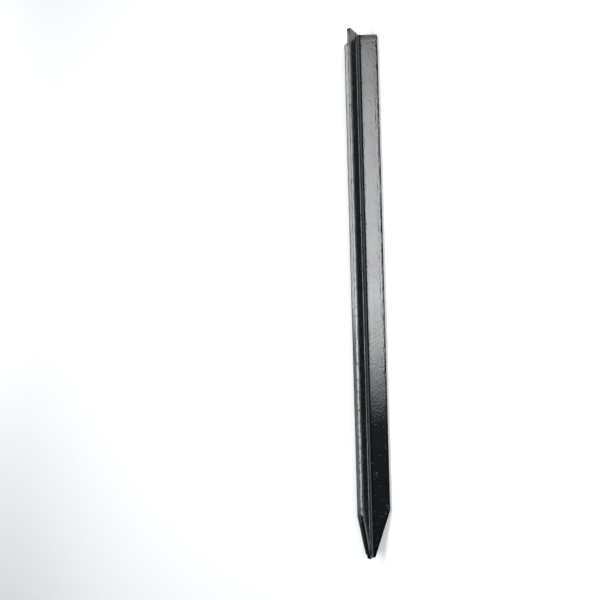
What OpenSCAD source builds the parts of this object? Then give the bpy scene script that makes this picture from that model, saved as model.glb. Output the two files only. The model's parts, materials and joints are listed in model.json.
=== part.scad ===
// Star picket: a hot-rolled Y-section steel post with a square struck end and a sheared point.
// Two legs of the section are wings, and the third, slightly longer, is the stem with the wire holes.
// It lies on the edges of the stem and one wing, with the other wing up. The struck end is at +Y and
// the point at -Y. The origin is on the surface it lies on, below the middle of its box.

/* [Overall] */
// Length from the struck end to the tip of the point
picket_length = 600; // [450:10:900]

/* [Section] */
// Reach of each wing, from the centre of the section to the rolled edge
wing_reach = 23; // [20:0.5:28]
// Reach of the stem, from the centre of the section to the rolled edge
stem_reach = 25; // [22:0.5:30]
// Thickness of a wing at its edge
edge_thickness = 3.6; // [3:0.1:4]
// Thickness that the flanks of a leg would have at the centre of the section
root_thickness = 4.4; // [4:0.1:5.5]
// Radius of the rolled fillet between two legs
root_fillet = 5; // [3:0.5:7]
// Radius of the two corners along the edge of a leg
edge_rounding = 0.7; // [0.5:0.1:1.4]

/* [Point] */
// Length over which the wings are sheared to the nose
wing_point_length = 54; // [40:1:80]
// Length over which the stem is sheared to the nose
stem_point_length = 38; // [30:1:80]
// Reach of the upper wing where the blunt nose begins
upper_nose_reach = 7; // [5:0.5:9]
// Reach of the lower wing where the blunt nose begins
lower_nose_reach = 4.5; // [4:0.5:8]
// Reach of the stem where the blunt nose begins
stem_nose_reach = 9.5; // [7:0.5:12]
// Radius of the corner between a sheared leg and the nose
nose_rounding = 2; // [0.5:0.1:3]

/* [Struck end] */
// Radius of the outer corner of each leg at the struck end
top_rounding = 3; // [1:0.5:5]

/* [Tie-wire holes] */
// Number of holes punched in the stem
hole_count = 3; // [1:1:3]
// Diameter of a tie-wire hole
hole_d = 5.5; // [4:0.5:7]
// Distance from the struck end to the first hole
hole_start = 50; // [20:5:70]
// Distance between neighbouring holes
hole_pitch = 150; // [60:5:150]
// Distance from the edge of the stem to the middle of a hole
hole_inset = 11; // [9:0.5:11]

/* [Hidden] */
$fn = 64;

// Straight steps that draw one rounded corner and one rolled fillet
corner_steps = 8;
fillet_steps = 10;

// The legs stand at equal angles: directions are seen looking along the post from the point
leg_angle = 120;
upper_wing = 90;
lower_wing = upper_wing - leg_angle;
stem = upper_wing + leg_angle;

// Flanks of a leg close in towards the edge by this slope
root_half = root_thickness / 2;
flank_slope = (root_thickness - edge_thickness) / (2 * wing_reach);
flank_angle = atan(flank_slope);

// Rolled fillet, tangent to the flanks on both sides of the valley between two legs
valley_angle = leg_angle / 2;
fillet_distance = (root_half + root_fillet / cos(flank_angle))
    / (sin(valley_angle) + flank_slope * cos(valley_angle));

// Centre of one rounded corner of an edge, tangent to the flank and to the end of the leg
function corner(reach, side) =
    let (along = reach - edge_rounding)
    [along, side * (root_half - flank_slope * along - edge_rounding / cos(flank_angle))];

// A point turned about the centre of the section
function turned(p, angle) =
    [p[0] * cos(angle) - p[1] * sin(angle), p[0] * sin(angle) + p[1] * cos(angle)];

// Turn that brings the lowest corners of the stem and the lower wing to one level
stem_foot = turned(corner(stem_reach, 1), stem);
wing_foot = turned(corner(wing_reach, -1), lower_wing);
rest_turn = -atan2(wing_foot[1] - stem_foot[1], wing_foot[0] - stem_foot[0]);

// Place of the section's centre, with its feet on the surface and its box centred
centre_height = edge_rounding - turned(wing_foot, rest_turn)[1];
right_side = turned(corner(wing_reach, 1), lower_wing + rest_turn)[0] + edge_rounding;
left_side = turned(corner(stem_reach, -1), stem + rest_turn)[0] - edge_rounding;
centre_offset = -(right_side + left_side) / 2;

// Cutters run past the steel by this much on every side
margin = 5;
cutter_width = 2 * (root_half + root_fillet + margin);

// Points along an arc, from one direction to another
function arc(centre, radius, from, to, steps) =
    [for (i = [0 : steps])
        let (direction = from + (to - from) * i / steps)
        centre + radius * [cos(direction), sin(direction)]];

// Outline of a leg along +X and of the valley that follows it, anticlockwise
function leg_points(reach) = concat(
    arc(corner(reach, -1), edge_rounding, flank_angle - 90, 0, corner_steps),
    arc(corner(reach, 1), edge_rounding, 0, 90 - flank_angle, corner_steps),
    arc(fillet_distance * [cos(valley_angle), sin(valley_angle)], root_fillet,
        270 - flank_angle, 90 + leg_angle + flank_angle, fillet_steps)
);

// The rolled Y section
module section() {
    polygon([
        for (p = leg_points(wing_reach)) turned(p, upper_wing),
        for (p = leg_points(stem_reach)) turned(p, stem),
        for (p = leg_points(wing_reach)) turned(p, lower_wing),
    ]);
}

// Side view of what is sheared off a leg at the point: reach along X, length along Y
module point_waste(reach, point_length, nose_reach) {
    slope = (reach - nose_reach) / point_length;
    shear_angle = atan(slope);
    nose_x = nose_reach - nose_rounding * (1 - sin(shear_angle)) / cos(shear_angle);
    polygon(concat(
        [[reach + margin, picket_length - point_length - margin / slope]],
        [[reach + margin, picket_length + margin]],
        [[nose_x, picket_length + margin]],
        arc([nose_x, picket_length - nose_rounding], nose_rounding, 90, shear_angle, corner_steps)
    ));
}

// Side view of what is rounded off the outer corner of a leg at the struck end
module top_waste(reach) {
    polygon(concat(
        [[reach + margin, top_rounding], [reach + margin, -margin]],
        [[reach - top_rounding, -margin]],
        arc([reach - top_rounding, top_rounding], top_rounding, -90, 0, corner_steps)
    ));
}

// Turns a side view into a cutter across the leg along +X
module across_leg() {
    rotate([90, 0, 0])
        linear_extrude(height = cutter_width, center = true)
            children();
}

// What is sheared and rounded off one leg, at both of its ends
module leg_waste(direction, reach, point_length, nose_reach) {
    rotate(direction) {
        across_leg() point_waste(reach, point_length, nose_reach);
        across_leg() top_waste(reach);
    }
}

// Row of tie-wire holes through the stem
module tie_holes() {
    for (i = [0 : hole_count - 1])
        rotate(stem)
            translate([stem_reach - hole_inset, 0, hole_start + i * hole_pitch])
                rotate([90, 0, 0])
                    cylinder(d = hole_d, h = cutter_width, center = true);
}

// The whole post, with the struck end at z = 0 and the nose at z = picket_length
module post() {
    difference() {
        linear_extrude(height = picket_length)
            section();
        leg_waste(upper_wing, wing_reach, wing_point_length, upper_nose_reach);
        leg_waste(lower_wing, wing_reach, wing_point_length, lower_nose_reach);
        leg_waste(stem, stem_reach, stem_point_length, stem_nose_reach);
        tie_holes();
    }
}

module picket() {
    color([0.09, 0.10, 0.11])
        translate([centre_offset, picket_length / 2, centre_height])
            rotate([90, 0, 0])
                rotate(rest_turn)
                    post();
}

picket();
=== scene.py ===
import bpy
import bmesh
import json
import math
import random
from mathutils import Matrix, Vector, noise


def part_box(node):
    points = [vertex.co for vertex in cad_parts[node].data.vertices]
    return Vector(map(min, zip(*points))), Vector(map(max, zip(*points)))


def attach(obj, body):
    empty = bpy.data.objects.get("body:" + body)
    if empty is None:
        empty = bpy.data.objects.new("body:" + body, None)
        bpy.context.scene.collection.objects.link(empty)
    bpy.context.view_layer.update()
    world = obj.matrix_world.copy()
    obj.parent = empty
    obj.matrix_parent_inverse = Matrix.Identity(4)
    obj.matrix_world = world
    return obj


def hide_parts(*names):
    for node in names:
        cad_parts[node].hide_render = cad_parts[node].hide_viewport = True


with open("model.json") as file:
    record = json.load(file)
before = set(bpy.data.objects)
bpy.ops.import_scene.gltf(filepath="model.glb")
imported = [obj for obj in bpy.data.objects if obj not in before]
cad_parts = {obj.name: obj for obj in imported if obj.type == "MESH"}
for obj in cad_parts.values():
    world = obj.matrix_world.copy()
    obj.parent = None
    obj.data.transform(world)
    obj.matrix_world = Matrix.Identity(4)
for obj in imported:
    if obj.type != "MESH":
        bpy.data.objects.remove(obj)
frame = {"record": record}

for startup in ("Cube", "Light", "Camera"):  # what a new file comes with
    if startup in bpy.data.objects:
        bpy.data.objects.remove(bpy.data.objects[startup])

mm = 0.001
cutTolerance = 0.001 * mm  # small, so that a cut merges no loops that stand close together
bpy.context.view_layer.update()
record = frame["record"]
mountAt = {m["name"]: m for m in record["mounts"]}
low, high = (Vector(c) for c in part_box("picket"))

# The section's centre line and the way the stem points come from the mounts
centre = Vector(mountAt["struck_end"]["pos_m"])
centre.y = 0
firstHole = Vector(mountAt["tie_hole_upper"]["pos_m"])
stemWay = Vector((firstHole.x - centre.x, 0, firstHole.z - centre.z)).normalized()


def turnedWay(way, degrees):  # a direction turned about the length of the post
    a = math.radians(degrees)
    return Vector((way.x * math.cos(a) - way.z * math.sin(a), 0, way.x * math.sin(a) + way.z * math.cos(a)))


upperWay = turnedWay(stemWay, -120)  # the wing that stands up
lowerWay = turnedWay(stemWay, 120)  # the wing that lies down beside the stem

picketSize = {
    "wingReach": 23 * mm,
    "stemReach": 25 * mm,
    "edgeThickness": 3.6 * mm,
    "rootThickness": 4.4 * mm,
    "rootFillet": 4.2 * mm,  # a little tighter than the solid, for a narrow dark valley
    "filletSteps": 10,
    "edgeRounding": 0.45 * mm,  # a little sharper than the solid, to catch the light as the real edge does
    "edgeSteps": 6,
    "topRounding": 3 * mm,
    "noseRounding": 2 * mm,
    "cornerSteps": 6,
    "upperPoint": (54 * mm, 7 * mm),  # length of the shear, reach left at the nose
    "lowerPoint": (54 * mm, 4.5 * mm),
    "stemPoint": (38 * mm, 9.5 * mm),
    "paintRadius": 0.45 * mm,  # how far the paint rounds a sheared or punched edge
    "paintSteps": 2,
    "paintAngle": 35,  # degrees: edges that turn more are rounded by the paint
    "smoothAngle": 50,  # degrees: edges that turn more are shaded sharp
    "stationPitch": 2 * mm,  # loops along the length
    "flankPitch": 1.6 * mm,  # loops across a leg
    "loopMargin": 0.15 * mm,  # from a rounding to the loop beside it, which keeps its shading narrow
    "toeWidth": 4 * mm,  # the rolls thin each leg a little towards its edge
    "toeDrop": 0.05 * mm,
    "toeLine": 0.03 * mm,  # depth of the broken line at the inner border of the toe
    "toeLineWidth": 0.45 * mm,  # on each side of its middle
    "toeLineRoom": 0.2 * mm,  # what is this close to its middle is pressed in
    "toeLineBreaks": (300, 60),  # how fast it changes from flank to flank and along the post, a metre
    "seamReach": 8 * mm,  # a small step where two rolls met, above the valley
    "seamWidth": 0.28 * mm,
    "seamHeight": 0.6 * mm,
    "seamFade": (2.8 * mm, 7.8 * mm),  # reach where it is gone, and where it has its full height
}
length = high.y - low.y
rootHalf = picketSize["rootThickness"] / 2
flankSlope = (picketSize["rootThickness"] - picketSize["edgeThickness"]) / (2 * picketSize["wingReach"])
legs = [
    {"way": upperWay, "reach": picketSize["wingReach"], "point": picketSize["upperPoint"]},
    {"way": stemWay, "reach": picketSize["stemReach"], "point": picketSize["stemPoint"]},
    {"way": lowerWay, "reach": picketSize["wingReach"], "point": picketSize["lowerPoint"]},
]

# The core is a three-sided prism, and each side is drawn out into a leg
coreDepth = rootHalf / (math.sqrt(3) + flankSlope)


def deselectAll():
    if bpy.context.object and bpy.context.object.mode != "OBJECT":
        bpy.ops.object.mode_set(mode="OBJECT")
    bpy.ops.object.select_all(action="DESELECT")


def editOnly(piece):  # edit mode on one piece, with nothing selected
    deselectAll()
    piece.select_set(True)
    bpy.context.view_layer.objects.active = piece
    bpy.ops.object.mode_set(mode="EDIT")
    bpy.ops.mesh.select_all(action="DESELECT")
    return bmesh.from_edit_mesh(piece.data)


def place(piece):  # puts a piece's place and turn into its mesh
    deselectAll()
    piece.select_set(True)
    bpy.context.view_layer.objects.active = piece
    bpy.ops.object.transform_apply(location=True, rotation=True, scale=True)


def applyModifier(piece, kind, **settings):
    deselectAll()
    piece.select_set(True)
    bpy.context.view_layer.objects.active = piece
    modifier = piece.modifiers.new(kind.title(), kind)
    for name, value in settings.items():
        setattr(modifier, name, value)
    bpy.ops.object.modifier_apply(modifier=modifier.name)


def along(leg, point):  # how far out along a leg a point is
    return (point.x - centre.x) * leg["way"].x + (point.z - centre.z) * leg["way"].z


def aside(leg, point):  # how far off the middle plane of a leg a point is
    return (point.z - centre.z) * leg["way"].x - (point.x - centre.x) * leg["way"].z


def lengthwiseEdges(mesh):
    return [e for e in mesh.edges if abs(e.verts[0].co.y - e.verts[1].co.y) > length / 2]


def tangentLength(radius, turn):  # from a corner to where its rounding begins
    return radius * math.tan(turn / 2)


def selectLeg(mesh, leg):  # one leg, from the core to its edge
    limit = rootHalf * 1.01  # a little over the half thickness
    for vert in mesh.verts:
        vert.select_set(along(leg, vert.co) > coreDepth * 0.9 and abs(aside(leg, vert.co)) < limit)
    mesh.select_flush(True)


def cutOff(piece, point, outward):  # saws along a plane that only one leg reaches, and closes the cut
    editOnly(piece)
    bpy.ops.mesh.select_all(action="SELECT")
    bpy.ops.mesh.bisect(plane_co=point, plane_no=outward, use_fill=True, clear_outer=True,
                        threshold=cutTolerance)


def legPoint(leg, reach, y):  # on the middle plane of a leg
    return Vector((centre.x + leg["way"].x * reach, y, centre.z + leg["way"].z * reach))


def roundCorner(piece, leg, reach, y, radius, fromAngle, toAngle):
    # saws off a corner by planes that touch an arc, angles from the leg's way towards +Y
    steps = picketSize["cornerSteps"]
    for i in range(steps):
        angle = math.radians(fromAngle + (toAngle - fromAngle) * (i + 0.5) / steps)
        outward = leg["way"] * math.cos(angle) + Vector((0, math.sin(angle), 0))
        cutOff(piece, legPoint(leg, reach, y) + outward * radius, outward)


def makePicket():
    deselectAll()
    bpy.ops.mesh.primitive_cylinder_add(vertices=3, radius=2 * coreDepth, depth=length)
    picket = bpy.context.object
    picket.name = "painted_picket"
    # local +Z becomes -Y, and a side of the prism faces each leg's way
    sideways = Matrix((turnedWay(stemWay, 90), -stemWay, Vector((0, -1, 0)))).transposed()
    picket.matrix_world = Matrix.Translation((centre.x, (low.y + high.y) / 2, centre.z)) @ sideways.to_4x4()
    bpy.context.view_layer.update()
    place(picket)
    for leg in legs:
        mesh = editOnly(picket)
        mesh.faces.ensure_lookup_table()
        side = max(mesh.faces, key=lambda f: f.normal.dot(leg["way"]))
        side.select_set(True)
        bmesh.update_edit_mesh(picket.data)
        outward = leg["way"] * (leg["reach"] - coreDepth)
        bpy.ops.mesh.extrude_region_move(TRANSFORM_OT_translate={"value": outward})
        thinner = (rootHalf - flankSlope * leg["reach"]) / (rootHalf - flankSlope * coreDepth)
        bpy.ops.transform.resize(value=(thinner, 1, thinner), center_override=legPoint(leg, leg["reach"], 0))
    # one face at each end
    mesh = editOnly(picket)
    for face in mesh.faces:
        face.select_set(abs(face.normal.y) > 0.9)
    bmesh.update_edit_mesh(picket.data)
    bpy.ops.mesh.dissolve_faces()
    print("legs drawn out")

    # two rounded corners along the edge of each leg
    mesh = editOnly(picket)
    bpy.ops.mesh.select_mode(type="EDGE")
    for edge in lengthwiseEdges(mesh):
        onEdge = any(along(leg, edge.verts[0].co) > leg["reach"] * 0.99 for leg in legs)
        edge.select_set(onEdge)
    bmesh.update_edit_mesh(picket.data)
    bpy.ops.mesh.bevel(offset_type="OFFSET", offset=picketSize["edgeRounding"],
                       segments=picketSize["edgeSteps"])

    # a rolled fillet in each valley
    mesh = editOnly(picket)
    for edge in lengthwiseEdges(mesh):
        point = edge.verts[0].co
        edge.select_set(math.hypot(point.x - centre.x, point.z - centre.z) < 3 * coreDepth)
    bmesh.update_edit_mesh(picket.data)
    valleyTurn = math.radians(60) + 2 * math.atan(flankSlope)
    bpy.ops.mesh.bevel(offset_type="OFFSET", offset=tangentLength(picketSize["rootFillet"], valleyTurn),
                       segments=picketSize["filletSteps"])
    bpy.ops.mesh.select_mode(type="VERT")
    print("edges rounded and valleys filled")
    return picket


def shearPoint(piece):  # the sheared point, with a blunt rounded nose
    for leg in legs:
        pointLength, noseReach = leg["point"]
        shearAngle = math.atan2(leg["reach"] - noseReach, pointLength)
        outward = leg["way"] * math.cos(shearAngle) + Vector((0, -math.sin(shearAngle), 0))
        cutOff(piece, legPoint(leg, noseReach, low.y), outward)
        radius = picketSize["noseRounding"]
        arcReach = noseReach - radius * (1 - math.sin(shearAngle)) / math.cos(shearAngle)
        roundCorner(piece, leg, arcReach, low.y + radius, radius, -math.degrees(shearAngle), -90)
    print("point sheared")


def roundTop(piece):  # the outer corners of the struck end
    radius = picketSize["topRounding"]
    for leg in legs:
        roundCorner(piece, leg, leg["reach"] - radius, high.y - radius, radius, 90, 0)
    print("struck end rounded")


def punchHoles(piece):  # the wire holes through the stem
    for name in ("tie_hole_upper", "tie_hole_middle", "tie_hole_lower"):
        mount = mountAt[name]
        turn = Vector(mount["axis"]).to_track_quat("Z", "Y").to_euler()
        deselectAll()
        bpy.ops.mesh.primitive_cylinder_add(vertices=48, radius=mount["dims"]["r_mm"] * mm, depth=20 * mm,
                                            location=mount["pos_m"], rotation=turn)
        punch = bpy.context.object
        place(punch)
        applyModifier(piece, "BOOLEAN", operation="DIFFERENCE", object=punch, solver="EXACT")
        bpy.data.objects.remove(punch)
    print("holes punched")


def paintEdges(piece):  # the paint film rounds what was sheared or punched
    applyModifier(piece, "BEVEL", width=picketSize["paintRadius"], segments=picketSize["paintSteps"],
                  limit_method="ANGLE", angle_limit=math.radians(picketSize["paintAngle"]),
                  use_clamp_overlap=False)
    print("paint laid over the edges")


def bisectLeg(piece, leg, reach):  # a loop along the post on both flanks of one leg
    mesh = editOnly(piece)
    selectLeg(mesh, leg)
    bmesh.update_edit_mesh(piece.data)
    bpy.ops.mesh.bisect(plane_co=legPoint(leg, reach, 0), plane_no=leg["way"], threshold=cutTolerance)


def addLoops(piece):  # loops along the length and across each leg, so that the paint can wave
    pitch = picketSize["stationPitch"]
    besideEnd = picketSize["paintRadius"] + picketSize["loopMargin"]
    stations = [low.y + besideEnd, high.y - besideEnd]
    stations += [low.y + i * pitch for i in range(1, int(length / pitch))]
    for y in stations:
        editOnly(piece)
        bpy.ops.mesh.select_all(action="SELECT")
        bpy.ops.mesh.bisect(plane_co=(0, y, 0), plane_no=(0, 1, 0), threshold=cutTolerance)
    for leg in legs:
        seam = picketSize["seamReach"]
        for share in (-0.5, 0.5):
            bisectLeg(piece, leg, seam + share * picketSize["seamWidth"])
        toe = leg["reach"] - picketSize["toeWidth"]
        for side in (-1, 0, 1):
            bisectLeg(piece, leg, toe + side * picketSize["toeLineWidth"])
        rounding = leg["reach"] - picketSize["edgeRounding"]
        reach = seam + picketSize["flankPitch"]
        while reach < rounding:
            if abs(reach - toe) > picketSize["flankPitch"] / 2:
                bisectLeg(piece, leg, reach)
            reach += picketSize["flankPitch"]
        bisectLeg(piece, leg, rounding - picketSize["loopMargin"])
    print("loops added")


def seamShift(out):  # the metal stands proud below the step, and fades out into the valley
    below = (picketSize["seamReach"] - out) / picketSize["seamWidth"] + 0.5
    gone, full = picketSize["seamFade"]
    fade = (out - gone) / (full - gone)
    return picketSize["seamHeight"] * max(0, min(1, below, fade))


def toeLineDepth(off, y):  # the line comes and goes along the post
    betweenFlanks, alongPost = picketSize["toeLineBreaks"]
    shown = 0.4 + 2 * noise.noise(Vector((off * betweenFlanks, y * alongPost, 0)))
    return picketSize["toeLine"] * max(0, min(1, shown))


def shapeFlanks(piece):  # the toe along each edge and the step on one flank of each leg
    mesh = editOnly(piece)
    toe = picketSize["toeWidth"]
    for vert in mesh.verts:
        for leg in legs:
            out = along(leg, vert.co)
            off = aside(leg, vert.co)
            if out < picketSize["seamFade"][0] or abs(off) > rootHalf * 1.4:
                continue
            shift = 0
            toeShare = (out - leg["reach"] + toe) / toe
            if toeShare > 0:
                shift -= picketSize["toeDrop"] * toeShare ** 2 * off / rootHalf
            if abs(toeShare) * toe < picketSize["toeLineRoom"]:
                shift -= toeLineDepth(off, vert.co.y) * math.copysign(1, off)
            if off < -rootHalf * 0.7:
                shift -= seamShift(out)
            vert.co += turnedWay(leg["way"], 90) * shift
    bmesh.update_edit_mesh(piece.data)
    print("toes and steps shaped")


def reachLeft(leg, y):  # how far a leg reaches at a place along the length
    pointLength, noseReach = leg["point"]
    share = min(1, (y - low.y) / pointLength)
    return noseReach + (leg["reach"] - noseReach) * share


waveSize = {  # waves in the rolled steel and in the paint: wavelength, height, only along edges
    "steel_bow": (90 * mm, 0.10 * mm, False),
    "paint_wave": (14 * mm, 0.05 * mm, False),
    "edge_blobs": (6 * mm, 0.14 * mm, True),
}
rimDepth = 2 * mm  # how far in from its edges the paint is uneven and worn


def rimCloseness(point):  # 1 at the edges and ends of the post, 0 from the rim's depth inwards
    closeness = 1 - min(high.y - point.y, point.y - low.y) / rimDepth
    for leg in legs:
        if abs(aside(leg, point)) < rootHalf * 1.2:
            inside = reachLeft(leg, point.y) - along(leg, point)
            closeness = max(closeness, 1 - inside / rimDepth)
    return min(max(closeness, 0), 1)


def wavePaint(piece):
    deselectAll()
    closeness = [rimCloseness(vert.co) for vert in piece.data.vertices]
    rims = piece.vertex_groups.new(name="rims")
    for index, value in enumerate(closeness):
        rims.add([index], value, "REPLACE")
    for name, (wavelength, height, onlyRims) in waveSize.items():
        clouds = bpy.data.textures.new(name, "CLOUDS")
        clouds.noise_scale = wavelength
        settings = {"vertex_group": "rims"} if onlyRims else {}
        applyModifier(piece, "DISPLACE", texture=clouds, strength=height, mid_level=1.0, **settings)
    piece.vertex_groups.remove(piece.vertex_groups["rims"])
    for vert in piece.data.vertices:  # the sharper edges stay inside the solid's box
        vert.co = Vector(max(a, min(c, b)) for a, c, b in zip(low, vert.co, high))
    rim = piece.data.attributes.new("rim", "FLOAT", "POINT")
    rim.data.foreach_set("value", closeness)
    print("paint waved")


nibSize = {
    "count": 180,
    "radius": (0.3 * mm, 0.6 * mm),
    "height": 0.4,  # against the radius
    "longest": 1.8,  # against the radius
    "room": 1.6 * mm,  # from the box, so that none stands out past the ends or under the post
    "seed": 7,
}


def addNibs(piece):  # grit that stuck in the wet paint
    chance = random.Random(nibSize["seed"])
    faces = list(piece.data.polygons)
    areas = [f.area for f in faces]
    picked = chance.choices(faces, weights=areas, k=nibSize["count"])
    room = nibSize["room"]
    spots = [(f.center.copy(), f.normal.copy()) for f in picked
             if all(a + room < c < b - room for a, c, b in zip(low, f.center, high))]
    nibs = []
    deselectAll()
    bpy.ops.mesh.primitive_uv_sphere_add(segments=8, ring_count=5, radius=1)
    pattern = bpy.context.object
    for spot, normal in spots:
        nib = pattern.copy()
        nib.data = pattern.data.copy()
        radius = chance.uniform(*nibSize["radius"])
        longer = chance.uniform(1, nibSize["longest"])
        turn = normal.to_track_quat("Z", "Y").to_matrix().to_4x4()
        turn @= Matrix.Rotation(chance.uniform(0, 3.14), 4, "Z")
        shape = Matrix.Diagonal((radius, radius * longer, radius * nibSize["height"], 1))
        nib.data.transform(Matrix.Translation(spot) @ turn @ shape)
        bpy.context.collection.objects.link(nib)
        nibs.append(nib)
    bpy.data.objects.remove(pattern)
    deselectAll()
    for nib in nibs:
        nib.select_set(True)
    piece.select_set(True)
    bpy.context.view_layer.objects.active = piece
    bpy.ops.object.join()
    print("nibs:", len(spots))


picket = makePicket()
shearPoint(picket)
roundTop(picket)
punchHoles(picket)
paintEdges(picket)
addLoops(picket)
shapeFlanks(picket)
wavePaint(picket)
addNibs(picket)
deselectAll()
picket.select_set(True)
bpy.context.view_layer.objects.active = picket
bpy.ops.object.shade_smooth_by_angle(angle=math.radians(picketSize["smoothAngle"]))
deselectAll()


def linearOf(hexColour):  # an sRGB hex colour as linear RGBA
    parts = [int(hexColour[i:i + 2], 16) / 255 for i in (1, 3, 5)]
    return tuple(c / 12.92 if c <= 0.04045 else ((c + 0.055) / 1.055) ** 2.4 for c in parts) + (1,)


def addNode(tree, kind, settings=None, links=None):  # one node with its settings and links
    node = tree.nodes.new(kind)
    for name, value in (settings or {}).items():
        if isinstance(name, str) and hasattr(node, name):
            setattr(node, name, value)
        else:
            node.inputs[name].default_value = value
    for name, source in (links or {}).items():
        tree.links.new(source, node.inputs[name])
    return node


def newMaterial(name):
    material = bpy.data.materials.new(name)
    material.use_nodes = True
    material.node_tree.nodes.clear()
    return material, material.node_tree


enamelSize = {
    "colour": "#03080c",
    "hazeColour": "#0a1014",
    "peelHeight": 0.055 * mm,
    "smooth": 0.08,  # roughness where the film is clear, and where it is hazy
    "dull": 0.13,
    "ior": 1.6,  # of bitumen
}
cloudSize = {  # patterns in the film and its wear: pitch across and along the post, detail
    "peel": (2.8 * mm, 3.0 * mm, 2),
    "grain": (1.6 * mm, 1.9 * mm, 0),  # drawn coarser than it is, so that it shows
    "haze": (30 * mm, 30 * mm, 6),
    "streaks": (2.5 * mm, 70 * mm, 3),
    "rub": (4 * mm, 4 * mm, 4),
    "scuff": (2.6 * mm, 2.6 * mm, 5),
    "curls": (13 * mm, 22 * mm, 2),
    "patches": (11 * mm, 11 * mm, 0),
}
wearSize = {  # places are in metres along Y
    "scuffColour": "#4a4c4e", "scuffRough": 0.3, "scuffFrom": 0.28, "scuffTo": 0.299,
    "scratchColour": "#3e4245", "scratchRough": 0.4, "scratchWidth": 0.004,
    "scratchFrom": -0.13, "scratchTo": -0.2,
    "dustColour": "#66645f", "dustRough": 0.55, "dustPitch": 5.2 * mm, "dustRadius": 0.6 * mm,
    "rubColour": "#3b3028", "rubRough": 0.5,  # the paint rubbed thin, rust showing brown
    "rubFrom": 0.64, "rubTo": 0.69, "rubAtTop": 0.14,
}


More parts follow.
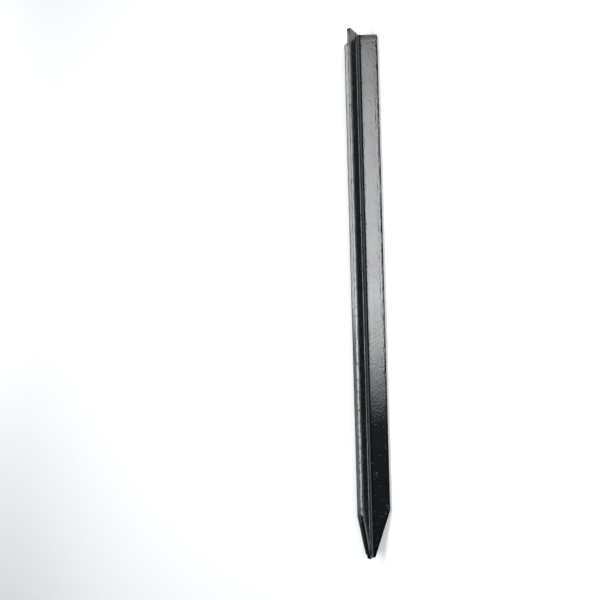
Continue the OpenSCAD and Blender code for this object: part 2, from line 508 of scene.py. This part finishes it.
def blackDippedEnamel():
    # Bitumen-black enamel on hot-rolled steel, dipped and hung to drain: glossy, with faint orange peel
    # and drain streaks, dull haze in patches, grit and dust in the film, and thin paint along the edges
    material, tree = newMaterial("black_dipped_enamel")
    spot = addNode(tree, "ShaderNodeTexCoord").outputs["Object"]
    axes = addNode(tree, "ShaderNodeSeparateXYZ", links={"Vector": spot})
    rim = addNode(tree, "ShaderNodeAttribute", {"attribute_name": "rim"}).outputs["Fac"]
    grit = addNode(tree, "ShaderNodeTexVoronoi", {"Scale": 1 / wearSize["dustPitch"]}, {"Vector": spot})
    clouds = {}
    for name, (pitch, alongPitch, detail) in cloudSize.items():
        scaled = addNode(tree, "ShaderNodeMapping", {"Scale": (1 / pitch, 1 / alongPitch, 1 / pitch)},
                         {"Vector": spot})
        clouds[name] = addNode(tree, "ShaderNodeTexNoise", {"Scale": 1, "Detail": detail},
                               {"Vector": scaled.outputs[0]}).outputs["Fac"]

    # shares of each effect: what it follows, from where to where, and its least and most
    speck = wearSize["dustRadius"] / wearSize["dustPitch"]
    shares = {}
    for name, (source, start, end, least, most) in {
        "film": (clouds["haze"], 0.35, 0.7, enamelSize["smooth"], enamelSize["dull"]),
        "drained": (clouds["streaks"], 0.35, 0.65, -0.015, 0.02),
        "haze": (clouds["haze"], 0.45, 0.75, 0.0, 0.6),
        "dust": (grit.outputs["Distance"], speck * 0.6, speck, 1.0, 0.0),
        "edge": (rim, 0.55, 0.85, 0.0, 1.0),
        "nearTop": (axes.outputs["Y"], wearSize["scuffFrom"], wearSize["scuffTo"], 0.0, 1.0),
        "scuff": (clouds["scuff"], 0.52, 0.62, 0.0, 0.7),
        "patches": (clouds["patches"], 0.57, 0.63, 0.0, 1.0),
        "nearPoint": (axes.outputs["Y"], wearSize["scratchTo"], wearSize["scratchFrom"], 1.0, 0.0),
    }.items():
        shares[name] = addNode(tree, "ShaderNodeMapRange",
                               {"interpolation_type": "SMOOTHSTEP", "From Min": start, "From Max": end,
                                "To Min": least, "To Max": most}, {"Value": source}).outputs["Result"]

    # the paint is rubbed thin along the edges, more so at the struck end
    thin = addNode(tree, "ShaderNodeMath", {"operation": "MULTIPLY_ADD", 1: wearSize["rubAtTop"]},
                   {0: shares["nearTop"], 2: clouds["rub"]})
    worn = addNode(tree, "ShaderNodeMapRange",
                   {"interpolation_type": "SMOOTHSTEP", "From Min": wearSize["rubFrom"],
                    "From Max": wearSize["rubTo"]}, {"Value": thin.outputs[0]})
    rubbed = addNode(tree, "ShaderNodeMath", {"operation": "MULTIPLY"}, {0: shares["edge"], 1: worn.outputs[0]})
    scuffed = addNode(tree, "ShaderNodeMath", {"operation": "MULTIPLY"},
                      {0: shares["scuff"], 1: shares["nearTop"]})

    # scratches follow one level of a slow cloud, in patches near the point
    line = addNode(tree, "ShaderNodeMath", {"operation": "COMPARE", 1: 0.5, 2: wearSize["scratchWidth"]},
                   {0: clouds["curls"]})
    broken = addNode(tree, "ShaderNodeMath", {"operation": "MULTIPLY"},
                     {0: line.outputs[0], 1: shares["patches"]})
    scratched = addNode(tree, "ShaderNodeMath", {"operation": "MULTIPLY"},
                        {0: broken.outputs[0], 1: shares["nearPoint"]})

    # the film, then each kind of wear over it
    clear, hazy = linearOf(enamelSize["colour"]), linearOf(enamelSize["hazeColour"])
    colour = addNode(tree, "ShaderNodeMix", {"data_type": "RGBA", 6: clear, 7: hazy},
                     {0: shares["haze"]}).outputs[2]
    rough = addNode(tree, "ShaderNodeMath", {"operation": "ADD"},
                    {0: shares["film"], 1: shares["drained"]}).outputs[0]
    layers = {"scuff": scuffed.outputs[0], "scratch": scratched.outputs[0],
              "dust": shares["dust"], "rub": rubbed.outputs[0]}
    for name, mask in layers.items():
        colour = addNode(tree, "ShaderNodeMix", {"data_type": "RGBA", 7: linearOf(wearSize[name + "Colour"])},
                         {0: mask, 6: colour}).outputs[2]
        rough = addNode(tree, "ShaderNodeMix", {3: wearSize[name + "Rough"]}, {0: mask, 2: rough}).outputs[0]

    height = addNode(tree, "ShaderNodeMath", {"operation": "ADD"}, {0: clouds["grain"], 1: clouds["peel"]})
    bump = addNode(tree, "ShaderNodeBump", {"Strength": 1.0, "Distance": enamelSize["peelHeight"]},
                   {"Height": height.outputs[0]})
    shader = addNode(tree, "ShaderNodeBsdfPrincipled", {"IOR": enamelSize["ior"]},
                     {"Base Color": colour, "Roughness": rough, "Normal": bump.outputs["Normal"]})
    addNode(tree, "ShaderNodeOutputMaterial", links={"Surface": shader.outputs["BSDF"]})
    return material


picket.data.materials.clear()
picket.data.materials.append(blackDippedEnamel())

# The camera: its place was worked out from the lines of the post in the photograph
cameraSize = {
    "lens": 31.2,
    "sensor": 36,
    "distance": 598.3 * mm,
    "lookElevation": 58.0,  # above +X, when the upper wing points straight up
    "lean": 1.587,  # how far the post leans in the frame
    "offset": (74.0 * mm, 4.3 * mm),  # of the post's middle from the middle of the frame
}
sectionTurn = math.degrees(math.atan2(upperWay.z, upperWay.x)) - 90
look = turnedWay(Vector((1, 0, 0)), cameraSize["lookElevation"] + sectionTurn)
right = turnedWay(look, -90)
lean = math.radians(cameraSize["lean"])
cameraRight = right * math.cos(lean) - Vector((0, 1, 0)) * math.sin(lean)
cameraUp = right * math.sin(lean) + Vector((0, 1, 0)) * math.cos(lean)
seen = centre - cameraRight * cameraSize["offset"][0] - cameraUp * cameraSize["offset"][1]
bpy.ops.object.camera_add()
camera = bpy.context.object
camera.matrix_world = Matrix((cameraRight, cameraUp, look)).transposed().to_4x4()
camera.location = seen + look * cameraSize["distance"]
camera.data.lens = cameraSize["lens"]
camera.data.sensor_width = cameraSize["sensor"]
camera.data.clip_start = 10 * mm
bpy.context.scene.camera = camera

floorSize = {"width": 8, "colour": "#f0f0ef", "glow": 0.18}  # width in metres


def addFloor():
    bpy.ops.mesh.primitive_plane_add(size=floorSize["width"])
    floor = bpy.context.object
    floor.name = "floor"
    material, tree = newMaterial("pale_floor")
    rays = addNode(tree, "ShaderNodeLightPath")
    seenRays = addNode(tree, "ShaderNodeMath", {"operation": "MAXIMUM"},
                       {0: rays.outputs["Is Camera Ray"], 1: rays.outputs["Is Glossy Ray"]})
    allRays = addNode(tree, "ShaderNodeMath", {"operation": "MAXIMUM"},
                      {0: seenRays.outputs[0], 1: rays.outputs["Is Transmission Ray"]})
    strength = addNode(tree, "ShaderNodeMath", {"operation": "MULTIPLY", 1: floorSize["glow"]},
                       {0: allRays.outputs[0]})
    glow = addNode(tree, "ShaderNodeEmission", links={"Strength": strength.outputs[0]})
    paper = addNode(tree, "ShaderNodeBsdfDiffuse", {"Color": linearOf(floorSize["colour"])})
    both = addNode(tree, "ShaderNodeAddShader", links={0: glow.outputs[0], 1: paper.outputs[0]})
    addNode(tree, "ShaderNodeOutputMaterial", links={"Surface": both.outputs[0]})
    floor.data.materials.append(material)


addFloor()

# Soft panels over the post: angles above +X, and how bright each is at places along Y in metres
panelDistance = 1.1
panelColour = "#fbfdff"
panels = {
    "key_panel": {"angles": (46, 57), "level": 10.7,
                  "glow": [(-0.85, 0.009), (-0.38, 0.015), (-0.27, 0.34), (-0.15, 0.76), (-0.02, 1.0),
                           (0.24, 0.9), (0.52, 0.75), (0.88, 0.36)]},
    "edge_panel": {"angles": (108, 119), "level": 13.5,
                   "glow": [(-0.75, 0.25), (-0.54, 0.78), (-0.41, 0.66), (-0.15, 1.0), (0.1, 0.82),
                            (0.52, 0.6), (0.88, 0.34)]},
    "line_strip": {"angles": (62.5, 66.5), "level": 9.5,
                   "glow": [(-0.8, 0.6), (-0.5, 0.8), (-0.35, 0.6), (-0.15, 1.0), (0.24, 0.8), (0.88, 0.45)]},
    "left_panel": {"angles": (170, 179), "level": 6.6,
                   "glow": [(-0.7, 0.22), (-0.15, 0.25), (-0.02, 1.0), (0.88, 0.9)]},
}


def addPanel(name, panel):  # a soft panel that faces the post
    lowAngle, highAngle = panel["angles"]
    lowEnd, highEnd = panel["glow"][0][0], panel["glow"][-1][0]
    way = turnedWay(Vector((1, 0, 0)), (lowAngle + highAngle) / 2)
    side = turnedWay(way, -90)
    bpy.ops.object.light_add(type="AREA")
    lamp = bpy.context.object
    lamp.name = name
    lamp.data.shape = "RECTANGLE"
    lamp.data.size = 2 * panelDistance * math.tan(math.radians(highAngle - lowAngle) / 2)
    lamp.data.size_y = highEnd - lowEnd
    lamp.data.color = linearOf(panelColour)[:3]
    lamp.data.energy = lamp.data.size * lamp.data.size_y * math.pi
    lamp.matrix_world = Matrix((side, Vector((0, 1, 0)), way)).transposed().to_4x4()
    lamp.location = centre + way * panelDistance + Vector((0, (lowEnd + highEnd) / 2, 0))
    lamp.data.use_nodes = True
    tree = lamp.data.node_tree
    spot = addNode(tree, "ShaderNodeNewGeometry")
    parts = addNode(tree, "ShaderNodeSeparateXYZ", links={"Vector": spot.outputs["Parametric"]})
    glow = addNode(tree, "ShaderNodeValToRGB", links={"Fac": parts.outputs["Y"]})
    stops = glow.color_ramp.elements
    while len(stops) < len(panel["glow"]):
        stops.new(1)
    for stop, (spotY, share) in zip(stops, panel["glow"]):
        stop.position = (spotY - lowEnd) / (highEnd - lowEnd)
        stop.color = (share, share, share, 1)
    bright = addNode(tree, "ShaderNodeMath", {"operation": "MULTIPLY", 1: panel["level"]},
                     {0: glow.outputs["Color"]})
    tree.links.new(bright.outputs[0], tree.nodes["Emission"].inputs["Strength"])


for name, panel in panels.items():
    addPanel(name, panel)

skySize = {"colour": "#cbeeff", "horizon": 0.22, "overhead": 0.055, "horizonHeight": 0.1}


def addSky():  # dim overhead and paler towards the horizon, as in a white studio
    world = bpy.data.worlds.new("studio")
    bpy.context.scene.world = world
    world.use_nodes = True
    tree = world.node_tree
    tree.nodes.clear()
    way = addNode(tree, "ShaderNodeTexCoord").outputs["Generated"]
    parts = addNode(tree, "ShaderNodeSeparateXYZ", links={"Vector": way})
    fade = addNode(tree, "ShaderNodeMapRange",
                   {"interpolation_type": "SMOOTHSTEP", "From Min": 0.0, "From Max": skySize["horizonHeight"],
                    "To Min": skySize["horizon"], "To Max": skySize["overhead"]}, {"Value": parts.outputs["Z"]})
    sky = addNode(tree, "ShaderNodeBackground", {"Color": linearOf(skySize["colour"])},
                  {"Strength": fade.outputs["Result"]})
    addNode(tree, "ShaderNodeOutputWorld", links={"Surface": sky.outputs["Background"]})


addSky()
bpy.context.scene.view_settings.view_transform = "Standard"

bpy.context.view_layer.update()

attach(picket, "root")
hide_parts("picket")
